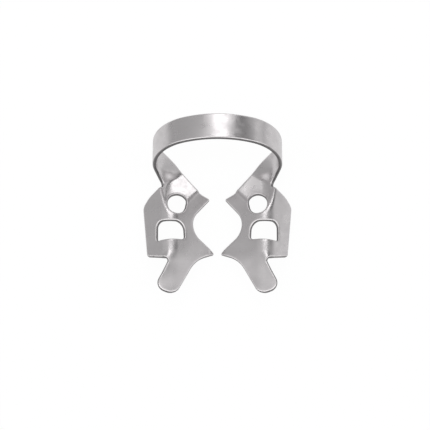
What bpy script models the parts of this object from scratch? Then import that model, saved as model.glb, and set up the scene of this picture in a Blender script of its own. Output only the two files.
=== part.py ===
# Dental rubber dam clamp with wings, one piece of stamped and bent spring steel.
# A flat blank is cut with its holes, its edges are rounded, and it is pressed to shape.
# Lengths are in millimetres until mm turns them into metres. X runs across the clamp, +Y
# towards the bow and +Z up. The blank is drawn for the right half: its first coordinate runs
# along the sheet outwards from the ridge of the jaw and over the bow, its second is Y.
import math

import bmesh
import bpy
import numpy as np

mm = 0.001

# sheet
SHEET_THICKNESS = 0.65
EDGE_ROUNDING = 0.13
STEEL_COLOUR = (0.56, 0.55, 0.555, 1.0)
STEEL_ROUGHNESS = 0.3

# jaw from the side: a slope down to the tooth, a ridge, and the wing's slope outwards
RIDGE_OFF_CENTRE = 7.4
RIDGE_BEND_RADIUS = 2.8
JAW_SLOPE = math.radians(26)
JAW_TWIST = 0.01
WING_SLOPE = math.radians(31)
FINGER_SIDE_RISE = math.radians(4)
FINGER_DROOP = math.radians(5)
FINGER_ROOT = -3.6
FINGER_BLEND = 1.8
PRONG_CURL_START = 6.3
PRONG_CURL_RADIUS = 3.0
PRONG_CURL = math.radians(20)

# neck: its plane dips towards the back and cuts the jaw's two slopes in folds that run from the
# ridge over the forceps hole to the neck's inner edge, and to the upper notch
NECK_RISE = math.radians(8)
NECK_OVER_RIDGE = 0.1
NECK_DIP = math.radians(15)
NECK_DIP_START = 1.6
NECK_DIP_RUN = 1.2
NECK_FOLD_SOFTNESS = 0.16
NECK_ALONE = 7.3
NECK_ALONE_RUN = 0.7

# bow
FOOT_BEND_RADIUS = 3.2
BOW_HALF_WIDTH = 9.88
CROWN_RADIUS = 13.8
CROWN_HALF_ANGLE = math.radians(23)
BOW_STRIP_WIDTH = 4.48
BOW_SETBACK = 9.2
BOW_LEAN = math.radians(8)

# outline of the jaw on the blank: along the sheet from the ridge, Y, rounding radius
NECK_INNER = (-4.6, 6.6, 10.0)
DISTAL_PRONG = (-6.85, 5.75, 0.3)
TOOTH_ARC = (-2.5, 0.65, 3.4)
MESIAL_PRONG = (-7.75, -3.25, 0.3)
FINGER_INNER = (-4.3, -4.8, 6.0)
FINGER_TIP_INNER = (-0.8, -11.0, 1.9)
FINGER_TIP_OUTER = (2.5, -10.0, 2.1)
LOWER_NOTCH = (0.15, -5.15, 0.5)
WING_LOWER = (3.9, -4.25, 0.6)
WING_UPPER = (4.8, 4.15, 1.7)
WING_SHOULDER = (3.7, 5.65, 4.0)
UPPER_NOTCH = (1.2, 7.5, 0.5)
# corners between the neck and the bow: share of the foot's bend, rounding radius
NECK_CORNER_OUT = (0.75, 4.0)
NECK_CORNER_IN = (0.3, 7.0)

# holes in the jaw
FORCEPS_HOLE_CENTRE = (-1.04, 4.28)
FORCEPS_HOLE_RADIUS = 1.62
SLOT_CORNERS = [(-2.35, -1.65, 0.5), (-2.15, 1.2, 1.7), (2.1, 1.2, 1.0), (2.1, -2.0, 0.35)]

# how finely arcs and bends are faceted
ARC_CHORD = 0.4
BEND_STEP = 0.4
JAW_STEP = 0.6
BOW_STEP = 0.8
MIDDLE_OVERLAP = 1.0
SLIVER = 0.03
SAME_POINT = 0.0001
FLAT = math.radians(0.5)
SHARP = math.radians(30)

# share of the shorter side at a corner that its rounding may use
ROUNDING_SHARE = 0.48


def rounded_outline(corners):
    """Points round a polygon whose corners, given as (x, y, radius), are rounded by arcs."""
    points = []
    for index, (x, y, radius) in enumerate(corners):
        corner = np.array([x, y])
        if radius == 0:
            points.append(corner)
            continue
        before = np.array(corners[index - 1][:2]) - corner
        after = np.array(corners[(index + 1) % len(corners)][:2]) - corner
        shorter = min(np.linalg.norm(before), np.linalg.norm(after))
        before /= np.linalg.norm(before)
        after /= np.linalg.norm(after)
        half_angle = math.acos(np.clip(before @ after, -1, 1)) / 2
        radius = min(radius, ROUNDING_SHARE * shorter * math.tan(half_angle))
        middle = (before + after) / np.linalg.norm(before + after)
        centre = corner + middle * radius / math.sin(half_angle)
        start = corner + before * radius / math.tan(half_angle) - centre
        end = corner + after * radius / math.tan(half_angle) - centre
        turn = math.atan2(start[0] * end[1] - start[1] * end[0], start @ end)
        steps = max(2, math.ceil(abs(turn) * radius / ARC_CHORD))
        for angle in np.linspace(0, turn, steps + 1):
            cos, sin = math.cos(angle), math.sin(angle)
            points.append(centre + (start[0] * cos - start[1] * sin, start[0] * sin + start[1] * cos))
    return points


def circle_outline(centre, radius):
    """Points round a circle."""
    angles = np.linspace(0, 2 * math.pi, math.ceil(2 * math.pi * radius / ARC_CHORD), endpoint=False)
    return [(centre[0] + radius * math.cos(angle), centre[1] + radius * math.sin(angle)) for angle in angles]


def follow(pieces, heading, distance):
    """Position and heading after some distance along a chain of (turn, length) pieces."""
    x = np.zeros_like(distance)
    z = np.zeros_like(distance)
    headings = np.full_like(distance, heading)
    start = 0.0
    corner = np.zeros(2)
    for index, (turn, length) in enumerate(pieces):
        last = index == len(pieces) - 1
        inside = distance - start if last else np.minimum(distance - start, length)
        reached = (inside >= 0) if start > 0 else np.ones_like(distance, dtype=bool)
        bend = turn / length * inside
        # chord of an arc that turns by bend over the length inside
        chord = inside * np.sinc(bend / 2 / np.pi)
        x = np.where(reached, corner[0] + chord * np.cos(heading + bend / 2), x)
        z = np.where(reached, corner[1] + chord * np.sin(heading + bend / 2), z)
        headings = np.where(reached, heading + bend, headings)
        whole = length * np.sinc(turn / 2 / np.pi)
        corner = corner + whole * np.array([math.cos(heading + turn / 2), math.sin(heading + turn / 2)])
        heading += turn
        start += length
    return x, z, headings


def smooth_step(value):
    value = np.clip(value, 0, 1)
    return value * value * (3 - 2 * value)


def ramp(value, run_in):
    """Zero below zero, then a smooth start over the run-in, then a straight rise of one in one."""
    value = np.maximum(value, 0)
    return np.where(value < run_in, value * value / (2 * run_in), value - run_in / 2)


class Shape:
    """The pressed shape, worked out from the sizes above."""

    def __init__(self):
        roll = RIDGE_BEND_RADIUS * (JAW_SLOPE + WING_SLOPE)
        curl = PRONG_CURL_RADIUS * PRONG_CURL
        ridge_to_slope = RIDGE_BEND_RADIUS * JAW_SLOPE
        slope = PRONG_CURL_START - ridge_to_slope
        jaw = [(-PRONG_CURL, curl), (0, slope)]
        self.first_heading = JAW_SLOPE + PRONG_CURL
        self.inner_length = curl + PRONG_CURL_START
        self.wing = jaw + [(-(JAW_SLOPE + WING_SLOPE), roll), (0, 1.0)]
        self.finger = jaw + [(FINGER_SIDE_RISE - JAW_SLOPE, roll), (0, 1.0)]
        ridge = follow(self.wing, self.first_heading, np.array([self.inner_length]))
        self.ridge_shift = np.array([RIDGE_OFF_CENTRE - ridge[0][0], -ridge[1][0]])

        foot_turn = math.pi / 2 - NECK_RISE
        foot_reach = FOOT_BEND_RADIUS * (1 - math.sin(NECK_RISE))
        self.neck_end = (BOW_HALF_WIDTH - foot_reach - RIDGE_OFF_CENTRE) / math.cos(NECK_RISE)
        self.foot_length = foot_turn * FOOT_BEND_RADIUS
        crown_reach = CROWN_RADIUS * math.sin(CROWN_HALF_ANGLE)
        shoulder_radius = (BOW_HALF_WIDTH - crown_reach) / (1 - math.sin(CROWN_HALF_ANGLE))
        shoulder_turn = math.pi / 2 - CROWN_HALF_ANGLE
        # the neck runs straight for its inner length before it comes over the ridge
        self.bow = [
            (0, self.inner_length + self.neck_end),
            (foot_turn, self.foot_length),
            (shoulder_turn, shoulder_turn * shoulder_radius),
            (CROWN_HALF_ANGLE, CROWN_HALF_ANGLE * CROWN_RADIUS),
        ]
        self.middle = sum(length for turn, length in self.bow) - self.inner_length
        self.neck_shift = np.array([
            RIDGE_OFF_CENTRE - self.inner_length * math.cos(NECK_RISE),
            NECK_OVER_RIDGE - self.inner_length * math.sin(NECK_RISE),
        ])
        self.foot_height = NECK_OVER_RIDGE + self.neck_end * math.sin(NECK_RISE)

    def up_the_foot(self, share):
        """How far along the blank a share of the foot's bend lies."""
        return self.neck_end + share * self.foot_length

    def surface(self, along, across):
        """Points of the sheet's middle surface for blank coordinates given as arrays."""
        distance = along + self.inner_length
        jaw_x, jaw_z, _ = follow(self.wing, self.first_heading, distance)
        finger_x, finger_z, _ = follow(self.finger, self.first_heading, distance)
        bow_x, bow_z, _ = follow(self.bow, NECK_RISE, distance)
        bow_x = bow_x + self.neck_shift[0]
        bow_z = bow_z + self.neck_shift[1]
        # below the wing the fold runs out into the flat finger, which droops a little
        past_root = FINGER_ROOT - across - np.maximum(along - LOWER_NOTCH[0], 0)
        finger_share = smooth_step(past_root / FINGER_BLEND)
        jaw_x = jaw_x + (finger_x - jaw_x) * finger_share + self.ridge_shift[0]
        jaw_z = jaw_z + (finger_z - jaw_z) * finger_share + self.ridge_shift[1]
        jaw_z = jaw_z * (1 - JAW_TWIST * across) - math.tan(FINGER_DROOP) * ramp(past_root, FINGER_BLEND)
        # the lower of the jaw and the neck's plane, with a soft fold where they meet
        # and the neck's dip eases to the bow's own lean up the foot
        foot = smooth_step((along - self.neck_end) / self.foot_length)
        dip = math.tan(NECK_DIP) + (math.tan(BOW_LEAN) - math.tan(NECK_DIP)) * foot
        neck_z = bow_z - dip * ramp(across - NECK_DIP_START, NECK_DIP_RUN)
        lower = np.clip(0.5 + (jaw_z - neck_z) / (2 * NECK_FOLD_SOFTNESS), 0, 1)
        alone = smooth_step((across - NECK_ALONE) / NECK_ALONE_RUN) * smooth_step(along / UPPER_NOTCH[0])
        share = 1 - (1 - lower) * (1 - alone)
        soft = NECK_FOLD_SOFTNESS * lower * (1 - lower) * (1 - alone)
        x = jaw_x + (bow_x - jaw_x) * share
        z = jaw_z + (neck_z - jaw_z) * share - soft
        y = across + share * math.sin(BOW_LEAN) * np.maximum(bow_z - self.foot_height, 0)
        return np.stack([x, y, z], axis=-1)

    def press(self, blank):
        """Blank points, given as rows of along, across and height, brought to the pressed shape."""
        along, across, height = blank.T
        step = 0.01
        middle = self.surface(along, across)
        slope_along = self.surface(along + step, across) - self.surface(along - step, across)
        slope_across = self.surface(along, across + step) - self.surface(along, across - step)
        normal = np.cross(slope_along, slope_across)
        normal /= np.linalg.norm(normal, axis=1, keepdims=True)
        return middle + normal * height[:, None]


def blank_curve(shape):
    """The flat half blank with its holes, as a filled curve with rounded edges."""
    end = shape.middle + MIDDLE_OVERLAP
    bow_back = BOW_SETBACK + BOW_STRIP_WIDTH
    outline = rounded_outline([
        (end, BOW_SETBACK, 0),
        (end, bow_back, 0),
        (shape.up_the_foot(NECK_CORNER_IN[0]), bow_back, NECK_CORNER_IN[1]),
        NECK_INNER,
        DISTAL_PRONG,
        TOOTH_ARC,
        MESIAL_PRONG,
        FINGER_INNER,
        FINGER_TIP_INNER,
        FINGER_TIP_OUTER,
        LOWER_NOTCH,
        WING_LOWER,
        WING_UPPER,
        WING_SHOULDER,
        UPPER_NOTCH,
        (shape.up_the_foot(NECK_CORNER_OUT[0]), BOW_SETBACK, NECK_CORNER_OUT[1]),
    ])
    holes = [circle_outline(FORCEPS_HOLE_CENTRE, FORCEPS_HOLE_RADIUS), rounded_outline(SLOT_CORNERS)]
    curve = bpy.data.curves.new("blank", "CURVE")
    curve.dimensions = "2D"
    curve.fill_mode = "BOTH"
    curve.bevel_depth = EDGE_ROUNDING
    curve.bevel_resolution = 0
    curve.extrude = SHEET_THICKNESS / 2 - EDGE_ROUNDING
    curve.offset = -EDGE_ROUNDING
    for points in [outline] + holes:
        spline = curve.splines.new("POLY")
        spline.points.add(len(points) - 1)
        for point, (x, y) in zip(spline.points, points):
            point.co = (x, y, 0, 1)
        spline.use_cyclic_u = True
    return curve


def cut_lines(bm, direction, positions, limit):
    """Divide the faces that lie before the limit along straight lines, so that the sheet can bend."""
    for position in positions:
        faces = [face for face in bm.faces if face.calc_center_median()[0] < limit]
        edges = {edge for face in faces for edge in face.edges}
        verts = {vert for face in faces for vert in face.verts}
        geometry = list(verts) + list(edges) + faces
        point = [position * axis for axis in direction]
        bmesh.ops.bisect_plane(bm, geom=geometry, dist=SLIVER, plane_co=point, plane_no=direction)


def crosses_flat_strip(edge):
    """True for an edge left over from the filling, which lies in a flat face and isn't a bend line."""
    along = abs(edge.verts[0].co.x - edge.verts[1].co.x)
    return along > SLIVER and len(edge.link_faces) == 2 and edge.calc_face_angle() < FLAT


def build_half(shape):
    """Mesh of the right half of the clamp, running a little past the middle of the bow."""
    curve = blank_curve(shape)
    blank = bpy.data.objects.new("blank", curve)
    bpy.context.scene.collection.objects.link(blank)
    graph = bpy.context.evaluated_depsgraph_get()
    mesh = bpy.data.meshes.new_from_object(blank.evaluated_get(graph))
    bpy.data.objects.remove(blank)
    bpy.data.curves.remove(curve)

    bm = bmesh.new()
    bm.from_mesh(mesh)
    bmesh.ops.remove_doubles(bm, verts=bm.verts, dist=SAME_POINT)
    bmesh.ops.dissolve_limit(bm, angle_limit=FLAT, verts=bm.verts, edges=bm.edges)
    everything = bm.verts[:] + bm.edges[:] + bm.faces[:]
    bmesh.ops.bisect_plane(
        bm, geom=everything, plane_co=(shape.middle, 0, 0), plane_no=(1, 0, 0), clear_outer=True
    )
    foot_top = shape.up_the_foot(1)
    inner = np.arange(-shape.inner_length, foot_top, BEND_STEP)
    arch = np.linspace(foot_top, shape.middle, math.ceil((shape.middle - foot_top) / BOW_STEP), endpoint=False)
    cut_lines(bm, (1, 0, 0), list(inner) + list(arch), limit=shape.middle)
    crossing = [edge for edge in bm.edges if crosses_flat_strip(edge)]
    bmesh.ops.dissolve_edges(bm, edges=crossing, use_verts=True)
    cut_lines(bm, (0, 1, 0), np.arange(FINGER_TIP_OUTER[1], BOW_SETBACK, JAW_STEP), limit=shape.neck_end)
    bmesh.ops.triangulate(bm, faces=bm.faces)
    bmesh.ops.dissolve_degenerate(bm, dist=SLIVER, edges=bm.edges)
    bmesh.ops.triangulate(bm, faces=bm.faces)
    blank_points = np.array([vert.co for vert in bm.verts])
    for vert, point in zip(bm.verts, shape.press(blank_points)):
        at_middle = vert.co.x > shape.middle - SAME_POINT
        vert.co = point * mm
        if at_middle:
            vert.co.x = 0
    bmesh.ops.recalc_face_normals(bm, faces=bm.faces)
    bm.to_mesh(mesh)
    bm.free()
    mesh.name = "clamp"
    return mesh


def lower_outline(points):
    """Lower half of the convex outline round (y, z) points, from the lowest y to the highest."""
    kept = []
    for point in sorted(map(tuple, points)):
        while len(kept) > 1:
            (first_y, first_z), (last_y, last_z) = kept[-2:]
            turn = (last_y - first_y) * (point[1] - first_z) - (last_z - first_z) * (point[0] - first_y)
            if turn > 0:
                break
            kept.pop()
        kept.append(point)
    return kept


def turned(points, tilt):
    """The (y, z) points after a turn about X."""
    cos, sin = math.cos(tilt), math.sin(tilt)
    return points @ np.array([[cos, sin], [-sin, cos]])


def resting_place(mesh):
    """Tilt about X and the shift with which the clamp lies on a table, its base at the origin.

    It lies on the two points of its lower outline that its centre of mass stands between.
    """
    points = np.array([vert.co[1:] for vert in mesh.vertices])
    areas = np.array([face.area for face in mesh.polygons])
    centres = np.array([face.center[1:] for face in mesh.polygons])
    balance = areas @ centres / areas.sum()
    outline = lower_outline(points)
    for start, end in zip(outline, outline[1:]):
        tilt = -math.atan2(end[1] - start[1], end[0] - start[0])
        stands = turned(np.array([start, balance, end]), tilt)[:, 0]
        if stands[0] <= stands[1] <= stands[2]:
            break
    laid = turned(points, tilt)
    middle = (laid[:, 0].min() + laid[:, 0].max()) / 2
    return tilt, (0, -middle, -laid[:, 1].min())


def steel_material():
    material = bpy.data.materials.new("satin_spring_steel")
    material.use_nodes = True
    shader = material.node_tree.nodes["Principled BSDF"]
    shader.inputs["Base Color"].default_value = STEEL_COLOUR
    shader.inputs["Metallic"].default_value = 1.0
    shader.inputs["Roughness"].default_value = STEEL_ROUGHNESS
    return material


def main():
    for old in list(bpy.data.objects):
        bpy.data.objects.remove(old)
    shape = Shape()
    mesh = build_half(shape)
    mesh.materials.append(steel_material())
    clamp = bpy.data.objects.new("clamp", mesh)
    collection = bpy.data.collections.new("rubber_dam_clamp")
    bpy.context.scene.collection.children.link(collection)
    collection.objects.link(clamp)
    mirror = clamp.modifiers.new("left half", "MIRROR")
    mirror.merge_threshold = 0.00002
    tilt, place = resting_place(mesh)
    clamp.rotation_euler.x = tilt
    clamp.location = place
    mesh.shade_smooth()
    mesh.set_sharp_from_angle(angle=SHARP)


main()
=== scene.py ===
import math

import bpy
import numpy as np
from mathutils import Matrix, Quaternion, Vector
from mathutils.geometry import delaunay_2d_cdt


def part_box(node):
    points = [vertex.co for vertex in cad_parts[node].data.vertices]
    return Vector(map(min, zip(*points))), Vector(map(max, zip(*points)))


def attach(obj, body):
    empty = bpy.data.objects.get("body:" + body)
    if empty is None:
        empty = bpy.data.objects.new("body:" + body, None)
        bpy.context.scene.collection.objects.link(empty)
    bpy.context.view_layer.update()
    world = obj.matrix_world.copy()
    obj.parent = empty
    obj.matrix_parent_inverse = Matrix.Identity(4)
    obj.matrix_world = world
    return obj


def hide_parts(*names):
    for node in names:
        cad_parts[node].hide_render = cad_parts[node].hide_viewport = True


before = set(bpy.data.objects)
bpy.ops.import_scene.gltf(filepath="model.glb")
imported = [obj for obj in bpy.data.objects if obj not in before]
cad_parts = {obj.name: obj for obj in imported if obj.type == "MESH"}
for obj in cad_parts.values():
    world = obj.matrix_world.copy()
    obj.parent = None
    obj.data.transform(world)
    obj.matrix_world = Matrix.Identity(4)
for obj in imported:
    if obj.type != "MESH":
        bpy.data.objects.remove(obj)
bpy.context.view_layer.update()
print("frame loaded")

# Winged rubber dam clamp of spring steel, lying on its four prong tips, seen from above and in front.
# X runs across the clamp, +Y towards the bow and +Z up. Lengths of the clamp and its steel are in
# millimetres, those of the studio and the view in metres.
mm = 0.001

# what a user would change on the clamp; a corner is (along the sheet from the ridge, across it,
# rounding radius)
clamp = {
    "thickness": 0.65,
    "edgeRadius": 0.275,         # tumbled edge
    "ridgeOffCentre": 7.4,
    "ridgeBendRadius": 2.8,
    "jawSlope": math.radians(26),
    "jawTwist": 0.01,
    "wingSlope": math.radians(31),
    "fingerSideRise": math.radians(4),
    "fingerDroop": math.radians(5),
    "fingerRoot": -3.6,
    "fingerBlend": 1.8,
    "prongCurlStart": 6.3,
    "prongCurlRadius": 3.0,
    "prongCurl": math.radians(20),
    "neckRise": math.radians(6),
    "neckOverRidge": 0.1,
    "neckDip": math.radians(15),
    "neckDipStart": 1.6,
    "neckDipRun": 1.2,
    "neckFoldSoftness": 0.16,
    "neckAlone": 7.3,            # past here the outer half of the sheet is neck only
    "neckAloneRun": 0.7,
    "footBendRadius": 3.2,
    "footAhead": (-1.6, 1.8),    # how much earlier the foot rises at the neck's outer and inner edge
    "footAheadSpan": (6.8, 10.2),
    "footAheadRun": 4.2,
    "bowHalfWidth": 9.88,
    "crownRadius": 13.8,
    "crownHalfAngle": math.radians(23),
    "bowStripWidth": 4.48,
    "bowSetback": 9.2,
    "bowLean": math.radians(8),
    "neckInner": (-4.6, 6.6, 10.0),
    "distalProng": (-6.85, 5.75, 0.3),
    "toothArc": (-2.5, 0.65, 3.4),
    "mesialProng": (-7.75, -3.25, 0.3),
    "fingerInner": (-4.3, -4.8, 6.0),
    "fingerTipInner": (-0.8, -11.0, 1.9),
    "fingerTipOuter": (2.5, -10.0, 2.1),
    "lowerNotch": (0.15, -5.15, 0.5),
    "wingLower": (3.9, -4.25, 0.6),
    "wingUpper": (4.8, 4.15, 1.7),
    "wingShoulder": (3.7, 5.65, 4.0),
    "upperNotch": (1.2, 7.5, 0.5),
    "neckCornerOut": (0.75, 4.0),    # share of the foot's bend, rounding radius
    "neckCornerIn": (0.3, 7.0),
    "holeCentre": (-1.04, 4.28),
    "holeRadii": (1.5, 1.7),     # bending draws the round forceps hole a little longer across the jaw
    "slot": [(-2.35, -1.65, 0.5), (-2.15, 1.2, 1.7), (2.1, 1.2, 1.0), (2.1, -2.0, 0.35)],
    "restTilt": math.radians(-2.390),
    "edgeStep": 0.1,             # spacing of the mesh's points along the edges, over the faces
    "faceStep": 0.21,
    "edgeArcSteps": 6,           # and round a quarter of the edge's rounding
}


def roundedOutline(corners, step):
    # Each corner of the polygon gives way to the arc that touches both its sides, its radius held
    # to what just under half of the shorter side has room for.
    sideShare, fewestSteps = 0.48, 3
    points = []
    for index, (x, y, radius) in enumerate(corners):
        corner = np.array([x, y])
        if radius == 0:
            points.append(corner)
            continue
        before = np.array(corners[index - 1][:2]) - corner
        after = np.array(corners[(index + 1) % len(corners)][:2]) - corner
        shorter = min(np.linalg.norm(before), np.linalg.norm(after))
        before /= np.linalg.norm(before)
        after /= np.linalg.norm(after)
        halfAngle = math.acos(np.clip(before @ after, -1, 1)) / 2
        radius = min(radius, sideShare * shorter * math.tan(halfAngle))
        towardsCentre = (before + after) / np.linalg.norm(before + after)
        centre = corner + towardsCentre * radius / math.sin(halfAngle)
        start = corner + before * radius / math.tan(halfAngle) - centre
        end = corner + after * radius / math.tan(halfAngle) - centre
        turn = math.atan2(start[0] * end[1] - start[1] * end[0], start @ end)
        steps = max(fewestSteps, math.ceil(abs(turn) * radius / step))
        angles = np.linspace(0, turn, steps + 1)
        arc = np.outer(np.cos(angles), start) + np.outer(np.sin(angles), [-start[1], start[0]])
        points.extend(centre + arc)
    return np.array(points)


def evenlySpaced(points, step, closed=True):
    # The line through the points, walked at equal steps of length.
    if closed:
        points = np.vstack([points, points[:1]])
    length = np.concatenate([[0], np.cumsum(np.hypot(*np.diff(points, axis=0).T))])
    count = math.ceil(length[-1] / step)
    places = np.linspace(0, length[-1], count + 1)
    if closed:
        places = places[:-1]
    return np.stack([np.interp(places, length, points[:, axis]) for axis in (0, 1)], axis=1)


def follow(pieces, heading, distance):
    # Where one stands after some distance along a chain of arcs, each given by its turn and its
    # length. The first runs on backwards and the last onwards.
    x = np.zeros_like(distance)
    z = np.zeros_like(distance)
    start, cornerX, cornerZ = 0.0, 0.0, 0.0
    for index, (turn, length) in enumerate(pieces):
        last = index == len(pieces) - 1
        inside = distance - start if last else np.minimum(distance - start, length)
        reached = inside >= 0 if start > 0 else np.ones_like(distance, dtype=bool)
        bend = turn / length * inside
        chord = inside * np.sinc(bend / 2 / np.pi)
        x = np.where(reached, cornerX + chord * np.cos(heading + bend / 2), x)
        z = np.where(reached, cornerZ + chord * np.sin(heading + bend / 2), z)
        whole = length * np.sinc(turn / 2 / np.pi)
        cornerX += whole * math.cos(heading + turn / 2)
        cornerZ += whole * math.sin(heading + turn / 2)
        heading += turn
        start += length
    return x, z


def smoothStep(value):
    value = np.clip(value, 0, 1)
    return value * value * (3 - 2 * value)


def ramp(value, runIn):
    # Zero, then a smooth start over the run-in, then a straight rise of one in one.
    value = np.maximum(value, 0)
    return np.where(value < runIn, value * value / (2 * runIn), value - runIn / 2)


def chains(size):
    # The bends across the clamp from the prongs outwards, each a turn and a length: over the ridge to
    # the wing or to the finger, and along the neck's plane to the foot and the bow.
    flatEnd = (0, 1.0)
    roll = size["ridgeBendRadius"] * (size["jawSlope"] + size["wingSlope"])
    curl = size["prongCurlRadius"] * size["prongCurl"]
    slope = size["prongCurlStart"] - size["ridgeBendRadius"] * size["jawSlope"]
    jaw = [(-size["prongCurl"], curl), (0, slope)]
    heading = size["jawSlope"] + size["prongCurl"]
    inner = curl + size["prongCurlStart"]
    wing = jaw + [(-(size["jawSlope"] + size["wingSlope"]), roll), flatEnd]
    finger = jaw + [(size["fingerSideRise"] - size["jawSlope"], roll), flatEnd]
    ridgeX, ridgeZ = follow(wing, heading, np.array([inner]))

    rise = size["neckRise"]
    footTurn = math.pi / 2 - rise
    footReach = size["footBendRadius"] * (1 - math.sin(rise))
    neckEnd = (size["bowHalfWidth"] - footReach - size["ridgeOffCentre"]) / math.cos(rise)
    crown = size["crownHalfAngle"]
    # the shoulder's arc starts upright at the bow's half width and meets the crown's arc where both
    # slope by the crown's half angle
    shoulderRadius = (size["bowHalfWidth"] - size["crownRadius"] * math.sin(crown)) / (
        1 - math.sin(crown))
    bow = [
        (0, inner + neckEnd),
        (footTurn, footTurn * size["footBendRadius"]),
        (math.pi / 2 - crown, (math.pi / 2 - crown) * shoulderRadius),
        (crown, crown * size["crownRadius"]),
    ]
    return {
        "wing": wing, "finger": finger, "bow": bow, "heading": heading, "inner": inner,
        "jawShift": (size["ridgeOffCentre"] - ridgeX[0], -ridgeZ[0]),
        "neckShift": (size["ridgeOffCentre"] - inner * math.cos(rise),
                      size["neckOverRidge"] - inner * math.sin(rise)),
        "neckEnd": neckEnd, "footLength": footTurn * size["footBendRadius"],
        "footZ": size["neckOverRidge"] + neckEnd * math.sin(rise),
        "middle": sum(length for _, length in bow) - inner,
    }


def middleSurface(size, form, along, across):
    # The sheet's middle surface over the flat blank: the lower of the jaw's roof and the neck's plane,
    # with a soft fold between them; the roof flattens out into the finger.
    distance = along + form["inner"]
    jawX, jawZ = follow(form["wing"], form["heading"], distance)
    fingerX, fingerZ = follow(form["finger"], form["heading"], distance)
    bowX = follow(form["bow"], size["neckRise"], distance)[0] + form["neckShift"][0]
    # towards the neck's inner edge the foot begins to rise earlier, so that its fold starts aslant
    (outer, inner), (start, end) = size["footAhead"], size["footAheadSpan"]
    ahead = (outer + (inner - outer) * smoothStep((across - start) / (end - start))) * (
        1 - smoothStep((along - form["neckEnd"]) / size["footAheadRun"]))
    _, aheadZ = follow(form["bow"], size["neckRise"], distance + ahead)
    bowZ = aheadZ + form["neckShift"][1] - math.sin(size["neckRise"]) * ahead
    pastRoot = size["fingerRoot"] - across - np.maximum(along - size["lowerNotch"][0], 0)
    fingerShare = smoothStep(pastRoot / size["fingerBlend"])
    jawX = jawX + (fingerX - jawX) * fingerShare + form["jawShift"][0]
    jawZ = jawZ + (fingerZ - jawZ) * fingerShare + form["jawShift"][1]
    jawZ = jawZ * (1 - size["jawTwist"] * across)
    jawZ = jawZ - math.tan(size["fingerDroop"]) * ramp(pastRoot, size["fingerBlend"])
    # the neck's dip eases to the bow's own lean up the foot
    foot = smoothStep((along - form["neckEnd"]) / form["footLength"])
    neckSlope, bowSlope = math.tan(size["neckDip"]), math.tan(size["bowLean"])
    dip = neckSlope + (bowSlope - neckSlope) * foot
    neckZ = bowZ - dip * ramp(across - size["neckDipStart"], size["neckDipRun"])
    # the neck's share is 0 where it lies well above the roof, 1 where it lies well below
    softness = size["neckFoldSoftness"]
    lower = np.clip(0.5 + (jawZ - neckZ) / (2 * softness), 0, 1)
    alone = smoothStep((across - size["neckAlone"]) / size["neckAloneRun"]) * smoothStep(
        along / size["upperNotch"][0])
    share = 1 - (1 - lower) * (1 - alone)
    x = jawX + (bowX - jawX) * share
    z = jawZ + (neckZ - jawZ) * share - softness * lower * (1 - lower) * (1 - alone)
    y = across + share * math.sin(size["bowLean"]) * np.maximum(bowZ - form["footZ"], 0)
    return np.stack([x, y, z], axis=-1)


def pressed(size, form, blank):
    # Blank points (along, across, height) moved to the middle surface and lifted along its normal,
    # which stands square to the surface's slopes over a short step to either side.
    along, across, height = blank.T
    step = 0.01
    slopeAlong, slopeAcross = (
        middleSurface(size, form, along + ahead, across + aside)
        - middleSurface(size, form, along - ahead, across - aside)
        for ahead, aside in ((step, 0), (0, step))
    )
    normal = np.cross(slopeAlong, slopeAcross)
    normal /= np.linalg.norm(normal, axis=1, keepdims=True)
    return middleSurface(size, form, along, across) + normal * height[:, None]


def upTheFoot(form, share):
    return form["neckEnd"] + share * form["footLength"]


def blankLoops(size, form):
    # The half blank's outer line, open at the middle of the bow, and its two holes, all drawn finely
    # first and then walked at even steps. The steel lies to the left of each.
    holeCorners = 400
    bowBack = size["bowSetback"] + size["bowStripWidth"]
    middle = form["middle"]
    outer = roundedOutline([
        (middle, size["bowSetback"], 0), (middle, bowBack, 0),
        (upTheFoot(form, size["neckCornerIn"][0]), bowBack, size["neckCornerIn"][1]),
        size["neckInner"], size["distalProng"], size["toothArc"], size["mesialProng"],
        size["fingerInner"], size["fingerTipInner"], size["fingerTipOuter"], size["lowerNotch"],
        size["wingLower"], size["wingUpper"], size["wingShoulder"], size["upperNotch"],
        (upTheFoot(form, size["neckCornerOut"][0]), size["bowSetback"], size["neckCornerOut"][1]),
    ], size["edgeStep"] / 2)
    # it starts and ends at the middle of the bow
    outer = np.vstack([outer[1:], outer[:1]])
    angle = np.linspace(0, 2 * math.pi, holeCorners, endpoint=False)[::-1]
    circle = np.stack([np.cos(angle), np.sin(angle)], axis=1)
    hole = np.array(size["holeCentre"]) + np.array(size["holeRadii"]) * circle
    slot = roundedOutline(size["slot"], size["edgeStep"] / 2)
    step = size["edgeStep"]
    return evenlySpaced(outer, step, False), evenlySpaced(hole, step), evenlySpaced(slot, step)


def inwardNormals(points, closed):
    # Across the line's direction, to its left, which is where the steel is.
    if closed:
        direction = np.roll(points, -1, axis=0) - np.roll(points, 1, axis=0)
    else:
        direction = np.gradient(points, axis=0)
        direction[0], direction[-1] = (-1, 0), (1, 0)
    direction /= np.linalg.norm(direction, axis=1, keepdims=True)
    return np.stack([-direction[:, 1], direction[:, 0]], axis=1)


def edgeProfile(size):
    # Inset and height over the sheet's edge, a quarter circle, a short wall and a quarter circle,
    # and how far each point has turned from the face, 0, to the wall, 1.
    radius, half = size["edgeRadius"], size["thickness"] / 2
    angle = np.linspace(0, math.pi / 2, size["edgeArcSteps"] + 1)
    inset = radius * (1 - np.sin(angle))
    height = half - radius + radius * np.cos(angle)
    turn = np.linspace(0, 1, size["edgeArcSteps"] + 1)
    return tuple(np.concatenate([upper, lower[::-1]]) for upper, lower in (
        (inset, inset), (height, -height), (turn, turn)))


def distanceTo(points, line):
    # Distance of each point from the nearest point of a finely drawn line, taken in parts to spare
    # memory.
    parts = 8
    nearest = np.full(len(points), np.inf)
    for part in np.array_split(line, parts):
        gap = np.linalg.norm(points[:, None] - part[None], axis=2).min(axis=1)
        nearest = np.minimum(nearest, gap)
    return nearest


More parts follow.
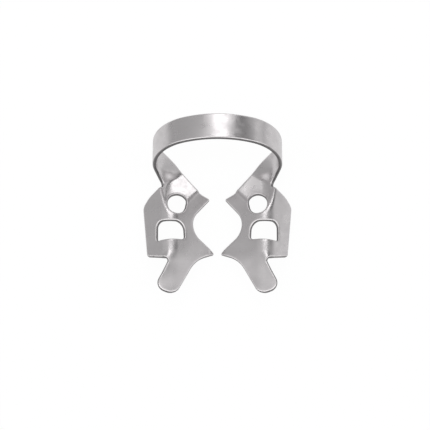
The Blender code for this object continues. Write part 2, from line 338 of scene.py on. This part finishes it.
def insideOf(points, loop):
    # A point is inside when a line to its right crosses the loop an odd number of times.
    inside = np.zeros(len(points), dtype=bool)
    ends = np.roll(loop, -1, axis=0)
    for (ax, ay), (bx, by) in zip(loop, ends):
        spans = (ay > points[:, 1]) != (by > points[:, 1])
        if ay != by:
            inside ^= spans & (points[:, 0] < (bx - ax) * (points[:, 1] - ay) / (by - ay) + ax)
    return inside


def makeHalfSheet(size, form):
    # The edge profile carried along the outer line and the holes, and the two faces between them
    # filled with a fine triangle grid, all on the flat blank. With it goes each point's edge turn.
    rimShare, joinDistance = 0.55, 1e-7
    outer, hole, slot = blankLoops(size, form)
    inset, height, turn = edgeProfile(size)
    blank, faces, edgeTurn, rims = [], [], [], []
    start = 0
    for line, closed in ((outer, False), (hole, True), (slot, True)):
        inward = inwardNormals(line, closed)
        strip = line[:, None] + inward[:, None] * inset[None, :, None]
        lifts = np.broadcast_to(height[None, :, None], strip.shape[:2] + (1,))
        rows = np.concatenate([strip, lifts], axis=2)
        count, width = rows.shape[:2]
        index = start + np.arange(count * width).reshape(count, width)
        ahead = np.roll(index, -1, axis=0) if closed else index[1:]
        here = index if closed else index[:-1]
        quads = np.stack([here[:, :-1], here[:, 1:], ahead[:, 1:], ahead[:, :-1]], axis=-1)
        quads = quads.reshape(-1, 4)
        blank.append(rows.reshape(-1, 3))
        edgeTurn.append(np.tile(turn, count))
        faces.append(np.concatenate([quads[:, [0, 1, 2]], quads[:, [0, 2, 3]]]))
        rims.append((strip[:, 0], index[:, 0], index[:, -1]))
        start += count * width

    step = size["faceStep"]
    first, last = rims[0][0][0], rims[0][0][-1]
    closing = np.linspace(last, first, math.ceil(abs(last[1] - first[1]) / step) + 1)[1:-1]
    rimLoops = [np.vstack([rims[0][0], closing]), rims[1][0], rims[2][0]]

    def onSteel(places):
        inOuter, inHole, inSlot = (insideOf(places, loop) for loop in rimLoops)
        return inOuter & ~inHole & ~inSlot

    # a grid of even triangles, kept off the rims by about half its spacing
    low, high = rimLoops[0].min(axis=0), rimLoops[0].max(axis=0)
    across = np.arange(low[1], high[1], step * math.sqrt(3) / 2)
    along = np.arange(low[0], high[0], step)
    gridX, gridY = np.meshgrid(along, across)
    gridX[1::2] += step / 2
    grid = np.stack([gridX.ravel(), gridY.ravel()], axis=1)
    grid = grid[onSteel(grid)]
    for loop in rimLoops:
        grid = grid[distanceTo(grid, loop) > rimShare * step]

    flat = np.vstack(rimLoops + [grid])
    edges, begin = [], 0
    for loop in rimLoops:
        order = begin + np.arange(len(loop))
        edges.append(np.stack([order, np.roll(order, -1)], axis=1))
        begin += len(loop)
    result = delaunay_2d_cdt(
        [Vector(p) for p in flat.tolist()], np.concatenate(edges).tolist(), [], 0, joinDistance
    )
    triangles = np.array(result[2])
    triangles = triangles[onSteel(flat[triangles].mean(axis=1))]

    # the rim's own points stand for the fill's first points, on both faces of the sheet
    half = size["thickness"] / 2
    extra = len(closing) + len(grid)
    for side, column in ((1, 1), (-1, 2)):
        new = start + np.arange(extra)
        start += extra
        mapping = np.concatenate([
            rims[0][column], new[:len(closing)], rims[1][column], rims[2][column], new[len(closing):]
        ])
        points = np.vstack([closing, grid])
        blank.append(np.column_stack([points, np.full(extra, side * half)]))
        edgeTurn.append(np.zeros(extra))
        faces.append(mapping[triangles][:, ::side])
    return np.vstack(blank), np.vstack(faces), np.concatenate(edgeTurn)


def makeClamp(size):
    # The pressed half sheet and its mirror image as one mesh, and where the point midway between the
    # two ridges, from which the pressing is measured, has come to lie.
    sameMm, sameMetres = 1e-6, 1e-6
    form = chains(size)
    blank, faces, edgeTurn = makeHalfSheet(size, form)
    points = pressed(size, form, blank)
    points[np.abs(blank[:, 0] - form["middle"]) < sameMm, 0] = 0
    count = len(points)
    points = np.vstack([points, points * (-1, 1, 1)])
    faces = np.vstack([faces, faces[:, ::-1] + count])

    # laid down on the prong tips, in the place of the CAD part
    cos, sin = math.cos(size["restTilt"]), math.sin(size["restTilt"])
    y, z = points[:, 1] * cos - points[:, 2] * sin, points[:, 1] * sin + points[:, 2] * cos
    lowest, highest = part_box("clamp")
    shiftY = (lowest[1] + highest[1]) / 2 / mm - (y.min() + y.max()) / 2
    shiftZ = lowest[2] / mm - z.min()
    points = np.stack([points[:, 0], y + shiftY, z + shiftZ], axis=1) * mm

    mesh = bpy.data.meshes.new("clamp_fine")
    mesh.from_pydata(points, [], faces.tolist())
    # both halves have the same edge turns, which the painted highlight and painted shade along the
    # steel's edges follow
    mesh.attributes.new("edgeTurn", "FLOAT", "POINT").data.foreach_set("value", np.tile(edgeTurn, 2))
    mesh.validate()
    piece = bpy.data.objects.new("clamp_fine", mesh)
    bpy.context.scene.collection.objects.link(piece)
    weld = piece.modifiers.new("middle of the bow", "WELD")
    weld.merge_threshold = sameMetres
    fixed = bpy.data.meshes.new_from_object(piece.evaluated_get(bpy.context.evaluated_depsgraph_get()))
    piece.modifiers.clear()
    piece.data = fixed
    fixed.name = "clamp_fine"
    fixed.shade_smooth()
    print("clamp:", len(fixed.polygons), "triangles")
    return piece, Vector((0, shiftY, shiftZ)) * mm


def linearColour(hexText):
    # sRGB hex to linear RGBA, by the standard's straight foot and power curve
    channels = [int(hexText[place:place + 2], 16) / 255 for place in (1, 3, 5)]
    return [c / 12.92 if c <= 0.04045 else ((c + 0.055) / 1.055) ** 2.4 for c in channels] + [1.0]


def addNode(tree, kind, links=None, stops=(), **settings):
    # A node with its settings; links maps an input's name or number to the socket that feeds it,
    # or to a plain value, and stops are the places and colours of a colour ramp.
    node = tree.nodes.new(kind)
    for name, value in settings.items():
        setattr(node, name, value)
    for place, source in (links or {}).items():
        if isinstance(source, bpy.types.NodeSocket):
            tree.links.new(source, node.inputs[place])
        else:
            node.inputs[place].default_value = source
    if stops:
        elements = node.color_ramp.elements
        while len(elements) < len(stops):
            elements.new(0.5)
        for element, (position, colour) in zip(elements, stops):
            element.position, element.color = position, colour
    return node


steel = {
    "colour": "#c9c6c7",
    "roughness": 0.31,
    "roughnessSpread": 0.06,
    "cloud": 1.3,                # mm across the faint clouds that tumbling leaves
    "cloudDetail": (5.0, 0.6),   # octaves of their noise and how strong each next one is
    "cloudShade": 0.10,          # how much darker their dark side is
    "waviness": 3.2,             # mm between the soft waves of the pressed sheet
    "wavinessDepth": 0.1,
    "wavinessDetail": 0.3,
    "grain": 0.14,               # mm between the fine pits, coarser than real ones so that they show
    "grainDepth": 0.0006,
    "grainDetail": 2.0,
    "scratchWidth": 0.05,        # mm across a handling scratch, and along it
    "scratchLength": 2.2,
    "scratchDepth": 0.0008,
    "scratchTurn": math.radians(35),
    "scratchPeaks": (0.66, 0.8),  # the noise's values where a scratch begins and is deepest
    # over the edge's turn from the face, 0, to the wall, 1: a painted highlight along the rounding,
    # then painted shade on the wall
    # # standing in for the dark reflection it would catch, together with the sheared wall's own duller
    # tone
    "edgePaintedLight": [(0.0, 1.0), (0.12, 1.12), (0.34, 1.12), (0.56, 0.42), (1.0, 0.38)],
    "edgeRoughness": 0.2,        # what the wall's roughness has more than the faces'
}


def makeSteel(look):
    # Stainless spring steel, stamped, pressed and tumbled to a satin polish: soft, broad reflections
    # whose borders waver a little,
    # # faint clouds, very fine pits, a few hairline scratches, and a painted highlight and painted
    # shade along the edges.
    material = bpy.data.materials.new("tumbled_spring_steel")
    material.use_nodes = True
    tree = material.node_tree
    shader = tree.nodes["Principled BSDF"]
    shader.inputs["Metallic"].default_value = 1.0
    place = addNode(tree, "ShaderNodeTexCoord").outputs["Object"]
    octaves, falloff = look["cloudDetail"]
    cloud = addNode(tree, "ShaderNodeTexNoise", {
        "Vector": place, "Scale": 1 / (look["cloud"] * mm), "Detail": octaves, "Roughness": falloff,
    })
    # most of a noise's values lie between these two
    cloudRange = {"Value": cloud.outputs["Fac"], "From Min": 0.3, "From Max": 0.7}
    turn = addNode(tree, "ShaderNodeAttribute", attribute_name="edgeTurn").outputs["Fac"]
    colour = np.array(linearColour(look["colour"]))
    # painted light in the base colour: a painted highlight along the edge's rounding, painted shade on
    # its wall
    paintedEdge = addNode(tree, "ShaderNodeValToRGB", {"Fac": turn}, stops=[
        (position, colour * (share, share, share, 1)) for position, share in look["edgePaintedLight"]
    ])
    shade = addNode(tree, "ShaderNodeMapRange", cloudRange | {
        "To Min": 1 - look["cloudShade"], "To Max": 1.0,
    })
    # the steel's colour with its painted edge highlight and shade, darkened here and there by the
    # clouds
    cloudedPaintedEdge = addNode(tree, "ShaderNodeVectorMath", {
        0: paintedEdge.outputs["Color"], "Scale": shade.outputs["Result"],
    }, operation="SCALE")
    tree.links.new(cloudedPaintedEdge.outputs["Vector"], shader.inputs["Base Color"])
    rough = addNode(tree, "ShaderNodeMapRange", cloudRange | {
        "To Min": look["roughness"] + look["roughnessSpread"],
        "To Max": look["roughness"] - look["roughnessSpread"],
    })
    rougher = addNode(tree, "ShaderNodeMath", {
        0: turn, 1: look["edgeRoughness"], 2: rough.outputs["Result"],
    }, operation="MULTIPLY_ADD")
    tree.links.new(rougher.outputs[0], shader.inputs["Roughness"])

    # scratches: a noise drawn out along one direction, of which only the peaks count
    width, length = 1 / (look["scratchWidth"] * mm), 1 / (look["scratchLength"] * mm)
    turned = addNode(tree, "ShaderNodeMapping", {
        "Vector": place, "Rotation": (0.0, 0.0, look["scratchTurn"]), "Scale": (width, length, length),
    })
    lines = addNode(tree, "ShaderNodeTexNoise", {
        "Vector": turned.outputs["Vector"], "Scale": 1.0, "Detail": 0.0,
    })
    first, deepest = look["scratchPeaks"]
    cuts = addNode(tree, "ShaderNodeMapRange", {
        "Value": lines.outputs["Fac"], "From Min": first, "From Max": deepest,
        "To Min": 1.0, "To Max": 0.0,
    })
    # each relief is laid over the one before: waves, pits, scratches
    reliefs = {"scratch": cuts.outputs["Result"]}
    for name in ("waviness", "grain"):
        reliefs[name] = addNode(tree, "ShaderNodeTexNoise", {
            "Vector": place, "Scale": 1 / (look[name] * mm), "Detail": look[name + "Detail"],
        }).outputs["Fac"]
    below = {}
    for name in ("waviness", "grain", "scratch"):
        bump = addNode(tree, "ShaderNodeBump", below | {
            "Height": reliefs[name], "Strength": 1.0, "Distance": look[name + "Depth"] * mm,
        })
        below = {"Normal": bump.outputs["Normal"]}
    tree.links.new(below["Normal"], shader.inputs["Normal"])
    return material


piece, ridgeMiddle = makeClamp(clamp)
piece.data.materials.append(makeSteel(steel))
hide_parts("clamp")
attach(piece, "root")
print("clamp placed")

# table, room and soft box of a plain studio; a room stop is (degrees from straight above, radiance)
studio = {
    "floorSize": 3.0,
    "floorWhite": 0.96,
    "floorColour": "#f8f8f8",
    # from left to right, seen when looking towards the bow
    "roomAcross": [(-90, 1.1), (-76, 0.66), (-60, 0.52), (-35, 0.62), (-20, 0.52), (14, 0.22),
                   (24, 0.055), (40, 0.07), (47, 0.33), (58, 0.85), (72, 1.1), (90, 1.1)],
    # from the front edge up to past straight above
    "roomFront": [(-90, 0.05), (-74, 0.05), (-64, 0.62), (-44, 0.72), (-34, 1.9), (-9, 1.9),
                  (4, 1.0), (20, 0.84)],
    "roomTurn": (18.0, 27.0),    # degrees towards the bow over which the front gives way to the other
    "roomPeak": 2.0,             # radiance that the ramps' white stands for
    # the room darkens to this share of itself between these sines of the height over the horizon
    "skirtingShare": 0.3,
    "skirtingSines": (0.06, 0.24),
    "keyMiddle": (6.4, 48.0),    # soft box: degrees to the right and towards the bow
    "keySpan": (19.5, 46.0),     # degrees across and along it
    "keyRoll": 4.0,
    "keyDistance": 0.55,
    "keyRadiance": 2.4,
}


def makeFloor(look):
    # A white table: camera and reflections see it near white, and the lamp and the room draw the
    # faint shadow on what is left of its matte paint.
    half = look["floorSize"] / 2
    mesh = bpy.data.meshes.new("table_top")
    corners = [(-half, -half, 0), (half, -half, 0), (half, half, 0), (-half, half, 0)]
    mesh.from_pydata(corners, [], [(0, 1, 2, 3)])
    floor = bpy.data.objects.new("table_top", mesh)
    bpy.context.scene.collection.objects.link(floor)
    material = bpy.data.materials.new("white_table")
    material.use_nodes = True
    tree = material.node_tree
    tree.nodes.remove(tree.nodes["Principled BSDF"])
    matte = addNode(tree, "ShaderNodeBsdfDiffuse", {"Color": linearColour(look["floorColour"])})
    ray = addNode(tree, "ShaderNodeLightPath")
    seen = addNode(tree, "ShaderNodeMath", {
        0: ray.outputs["Is Camera Ray"], 1: ray.outputs["Is Glossy Ray"],
    }, operation="ADD")
    seenToo = addNode(tree, "ShaderNodeMath", {
        0: seen.outputs[0], 1: ray.outputs["Is Transmission Ray"],
    }, operation="ADD", use_clamp=True)
    glow = addNode(tree, "ShaderNodeEmission", {"Color": (1, 1, 1, 1), "Strength": 1.0})
    share = addNode(tree, "ShaderNodeMath", {
        0: seenToo.outputs[0], 1: look["floorWhite"],
    }, operation="MULTIPLY")
    mix = addNode(tree, "ShaderNodeMixShader", {
        0: share.outputs[0], 1: matte.outputs[0], 2: glow.outputs[0],
    })
    tree.links.new(mix.outputs[0], tree.nodes["Material Output"].inputs["Surface"])
    mesh.materials.append(material)


def makeWorld(look):
    # The room that the steel mirrors: even on the left, a dark gap beside the soft box, pale further
    # right, bright low in front over a dark skirting; white where the camera looks past the table.
    world = bpy.data.worlds.new("studio")
    bpy.context.scene.world = world
    world.use_nodes = True
    tree = world.node_tree
    room = tree.nodes["Background"]
    direction = addNode(tree, "ShaderNodeTexCoord").outputs["Generated"]
    parts = addNode(tree, "ShaderNodeSeparateXYZ", {0: direction}).outputs
    ahead, aside = (
        addNode(tree, "ShaderNodeMath", {0: parts[part], 1: parts["Z"]}, operation="ARCTAN2").outputs[0]
        for part in ("Y", "X")
    )
    colours = []
    for angle, stopList in ((ahead, look["roomFront"]), (aside, look["roomAcross"])):
        first, last = stopList[0][0], stopList[-1][0]
        place = addNode(tree, "ShaderNodeMapRange", {
            "Value": angle, "From Min": math.radians(first), "From Max": math.radians(last),
        })
        ramp = addNode(tree, "ShaderNodeValToRGB", {"Fac": place.outputs["Result"]}, stops=[
            ((degrees - first) / (last - first), (radiance / look["roomPeak"],) * 3 + (1.0,))
            for degrees, radiance in stopList
        ])
        colours.append(ramp.outputs["Color"])
    first, last = look["roomTurn"]
    turn = addNode(tree, "ShaderNodeMapRange", {
        "Value": ahead, "From Min": math.radians(first), "From Max": math.radians(last),
    })
    seen = addNode(tree, "ShaderNodeMix", {"Factor": turn.outputs["Result"]}, data_type="RGBA")
    for colour, socket in zip(colours, (socket for socket in seen.inputs if socket.type == "RGBA")):
        tree.links.new(colour, socket)
    tree.links.new(next(s for s in seen.outputs if s.type == "RGBA"), room.inputs["Color"])
    low, high = look["skirtingSines"]
    fade = addNode(tree, "ShaderNodeMapRange", {
        "Value": parts["Z"], "From Min": low, "From Max": high,
        "To Min": look["skirtingShare"] * look["roomPeak"], "To Max": look["roomPeak"],
    })
    tree.links.new(fade.outputs["Result"], room.inputs["Strength"])
    ray = addNode(tree, "ShaderNodeLightPath")
    white = addNode(tree, "ShaderNodeBackground", {"Color": (1, 1, 1, 1), "Strength": 1.0})
    mix = addNode(tree, "ShaderNodeMixShader", {
        0: ray.outputs["Is Camera Ray"], 1: room.outputs[0], 2: white.outputs[0],
    })
    tree.links.new(mix.outputs[0], tree.nodes["World Output"].inputs["Surface"])


def makeSoftBox(look):
    # A rectangular soft box over the clamp and behind it, its far end swung to the right. Each of its
    # sides is twice the distance times the tangent of half the angle that it spans.
    right, ahead = (math.radians(angle) for angle in look["keyMiddle"])
    away = Vector((math.tan(right), math.tan(ahead), 1)).normalized()
    width, height = (
        2 * look["keyDistance"] * math.tan(math.radians(span) / 2) for span in look["keySpan"]
    )
    data = bpy.data.lights.new("soft_box", "AREA")
    data.shape = "RECTANGLE"
    data.size, data.size_y = width, height
    # an area lamp's power over pi times its area is its radiance
    data.energy = look["keyRadiance"] * math.pi * width * height
    lamp = bpy.data.objects.new("soft_box", data)
    bpy.context.scene.collection.objects.link(lamp)
    lamp.location = away * look["keyDistance"]
    facing = away.to_track_quat("Z", "Y") @ Quaternion((0, 0, 1), math.radians(-look["keyRoll"]))
    lamp.rotation_euler = facing.to_euler()


makeFloor(studio)
makeWorld(studio)
makeSoftBox(studio)
print("studio lit")

# the photograph's view, which leans this far towards the fingers from square over the clamp as it is
# before it is laid on its prong tips
view = {
    "offNormal": math.radians(22),
    "distance": 0.3,
    "photoSide": 430,            # pixels
    "pixelsPerMm": 6.4,
    "ridgeMiddlePixel": (217.4, 228.0),  # where the point midway between the ridges is seen
    "sensor": 36.0,
    "clip": (0.01, 10.0),
}


def makeCamera(look, tilt, ridgeMiddle):
    # Stands off the point between the ridges, and is moved sideways until that point falls on its
    # pixel of the photograph. The lens's length is the distance times how many millimetres of sensor a
    # metre takes there.
    angle = look["offNormal"] + tilt
    back = Vector((0, -math.sin(angle), math.cos(angle)))
    up = Vector((0, math.cos(angle), math.sin(angle)))
    half = look["photoSide"] / 2
    right = (half - look["ridgeMiddlePixel"][0]) / look["pixelsPerMm"] * mm
    rise = (look["ridgeMiddlePixel"][1] - half) / look["pixelsPerMm"] * mm
    data = bpy.data.cameras.new("photo_camera")
    data.sensor_width = look["sensor"]
    data.lens = look["pixelsPerMm"] / mm * look["distance"] * look["sensor"] / look["photoSide"]
    data.clip_start, data.clip_end = look["clip"]
    camera = bpy.data.objects.new("photo_camera", data)
    bpy.context.scene.collection.objects.link(camera)
    camera.location = ridgeMiddle + back * look["distance"] + up * rise + Vector((right, 0, 0))
    camera.rotation_euler = back.to_track_quat("Z", "Y").to_euler()
    bpy.context.scene.camera = camera


makeCamera(view, clamp["restTilt"], ridgeMiddle)
bpy.context.scene.view_settings.view_transform = "Standard"
print("scene ready")
